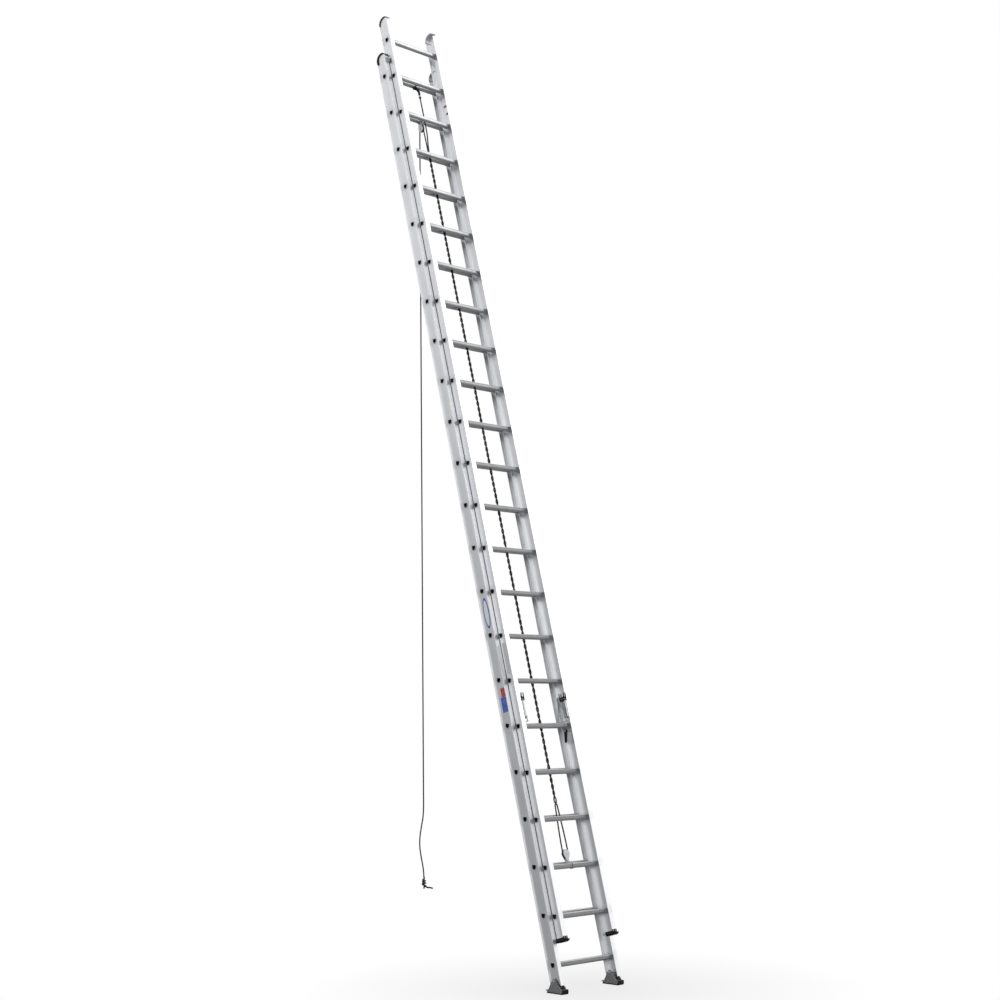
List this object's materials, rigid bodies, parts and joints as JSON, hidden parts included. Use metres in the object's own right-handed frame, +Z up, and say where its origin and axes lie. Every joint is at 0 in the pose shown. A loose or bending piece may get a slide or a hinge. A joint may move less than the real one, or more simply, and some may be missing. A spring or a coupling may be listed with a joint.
{
  "type": "extension ladder",
  "caption": "Leaning two-section aluminium extension ladder: sliding fly section, D-shaped rungs, swivel shoes, rung locks and a rope hoist with two pulley blocks.",
  "frame": {"origin": "on the floor, midway between the feet and plumb below the bottom rung", "axes": "+Z up; the climber stands on -Y and faces +Y, the wall side; +X is the climber's right, along the rungs"},
  "size_m": [0.5694, 1.7552, 6.8622],
  "materials": {
    "rail": "mill",
    "rung": "satin, fluted",
    "shoe": "cast, rubber sole",
    "lock": "cast",
    "flipper": "moulded",
    "block": "zinc plated",
    "sheave": "cast",
    "rope": "braided"
  },
  "bodies": {
    "base": {"base_rail_left": "rail", "base_rail_right": "rail", "base_rung_01": "rung", "base_rung_02": "rung", "base_rung_03": "rung", "base_rung_04": "rung", "base_rung_05": "rung", "base_rung_06": "rung", "base_rung_07": "rung", "base_rung_08": "rung", "base_rung_09": "rung", "base_rung_10": "rung", "base_rung_11": "rung", "base_rung_12": "rung", "base_rung_13": "rung", "base_rung_14": "rung", "base_rung_15": "rung", "base_rung_16": "rung", "base_rung_17": "rung", "base_rung_18": "rung", "base_rung_19": "rung", "base_rung_20": "rung", "base_rung_21": "rung", "base_rung_22": "rung", "upper_block": "block", "hoist_rope": "rope", "rope_tail": "rope"},
    "fly": {"fly_rail_left": "rail", "fly_rail_right": "rail", "fly_rung_01": "rung", "fly_rung_02": "rung", "fly_rung_03": "rung", "fly_rung_04": "rung", "fly_rung_05": "rung", "fly_rung_06": "rung", "fly_rung_07": "rung", "fly_rung_08": "rung", "fly_rung_09": "rung", "fly_rung_10": "rung", "fly_rung_11": "rung", "fly_rung_12": "rung", "fly_rung_13": "rung", "fly_rung_14": "rung", "fly_rung_15": "rung", "fly_rung_16": "rung", "fly_rung_17": "rung", "fly_rung_18": "rung", "fly_rung_19": "rung", "fly_rung_20": "rung", "fly_rung_21": "rung", "fly_rung_22": "rung", "lower_block": "block"},
    "shoe_left": {"shoe_left": "shoe"},
    "shoe_right": {"shoe_right": "shoe"},
    "lock_left": {"lock_left": "lock"},
    "lock_right": {"lock_right": "lock"},
    "flipper_left": {"flipper_left": "flipper"},
    "flipper_right": {"flipper_right": "flipper"},
    "upper_sheave": {"upper_sheave": "sheave"},
    "lower_sheave": {"lower_sheave": "sheave"}
  },
  "joints": [
    {"name": "fly_slide", "type": "slide", "parent": "base", "child": "fly", "axis": [0, 0.2453, 0.9694], "range_m": [0, 5.1816], "deforming": ["hoist_rope"]},
    {"name": "shoe_left_swivel", "type": "hinge", "parent": "base", "child": "shoe_left", "pos_m": [-0.2585, -0.018, 0.075], "axis": [-1, 0, 0], "range_deg": [-8, 85]},
    {"name": "lock_left_swing", "type": "hinge", "parent": "fly", "child": "lock_left", "pos_m": [-0.1995, 0.29167, 1.70588], "axis": [-1, 0, 0], "range_deg": [0, 90]},
    {"name": "flipper_left_swing", "type": "hinge", "parent": "fly", "child": "flipper_left", "pos_m": [-0.1995, 0.30001, 1.60835], "axis": [1, 0, 0], "range_deg": [-30, 40]},
    {"name": "shoe_right_swivel", "type": "hinge", "parent": "base", "child": "shoe_right", "pos_m": [0.2585, -0.018, 0.075], "axis": [-1, 0, 0], "range_deg": [-8, 85]},
    {"name": "lock_right_swing", "type": "hinge", "parent": "fly", "child": "lock_right", "pos_m": [0.1995, 0.29167, 1.70588], "axis": [-1, 0, 0], "range_deg": [0, 90]},
    {"name": "flipper_right_swing", "type": "hinge", "parent": "fly", "child": "flipper_right", "pos_m": [0.1995, 0.30001, 1.60835], "axis": [1, 0, 0], "range_deg": [-30, 40]},
    {"name": "upper_sheave_spin", "type": "hinge", "parent": "base", "child": "upper_sheave", "pos_m": [0, 1.47124, 6.01364], "axis": [1, 0, 0], "continuous": true},
    {"name": "lower_sheave_spin", "type": "hinge", "parent": "fly", "child": "lower_sheave", "pos_m": [0, 0.13227, 0.82724], "axis": [0, -0.9694, 0.2453], "continuous": true}
  ],
  "couplings": [
    {"joint": "upper_sheave_spin", "follows": "fly_slide", "rad_per_m": -105.26},
    {"joint": "lower_sheave_spin", "follows": "fly_slide", "rad_per_m": -40.816}
  ]
}
